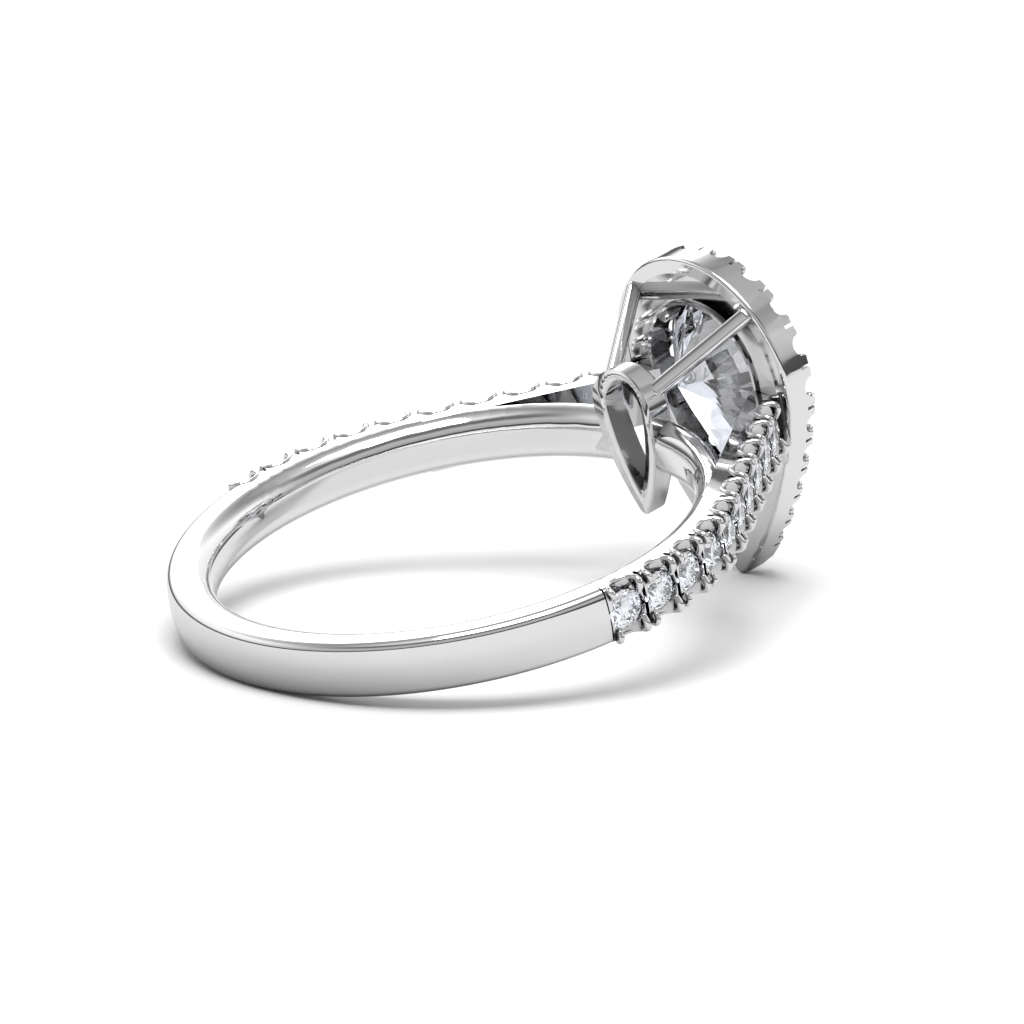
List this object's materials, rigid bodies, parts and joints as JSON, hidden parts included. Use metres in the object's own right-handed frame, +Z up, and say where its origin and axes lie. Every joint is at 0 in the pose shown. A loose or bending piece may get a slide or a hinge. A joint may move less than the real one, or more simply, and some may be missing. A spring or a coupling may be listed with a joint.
{
  "type": "ring",
  "caption": "Halo ring of polished white metal with a pear-shaped centre stone, stone-set shoulders and a plain rounded band, lying on its side.",
  "frame": {"origin": "on the floor, under the middle of the ring's bounding box, as the ring lies on its side", "axes": "+X from the plain back of the band towards the halo, +Y across the band, +Z up from the floor"},
  "size_m": [0.0238, 0.0194, 0.0117],
  "materials": {
    "white_metal": "high polish, white gold or platinum colour",
    "diamond": "clear, brilliant cut"
  },
  "bodies": {
    "root": {"ring_mount": "white_metal", "center_stone": "diamond", "halo_stones": "diamond", "shoulder_stones_left": "diamond", "shoulder_stones_right": "diamond"}
  },
  "joints": []
}
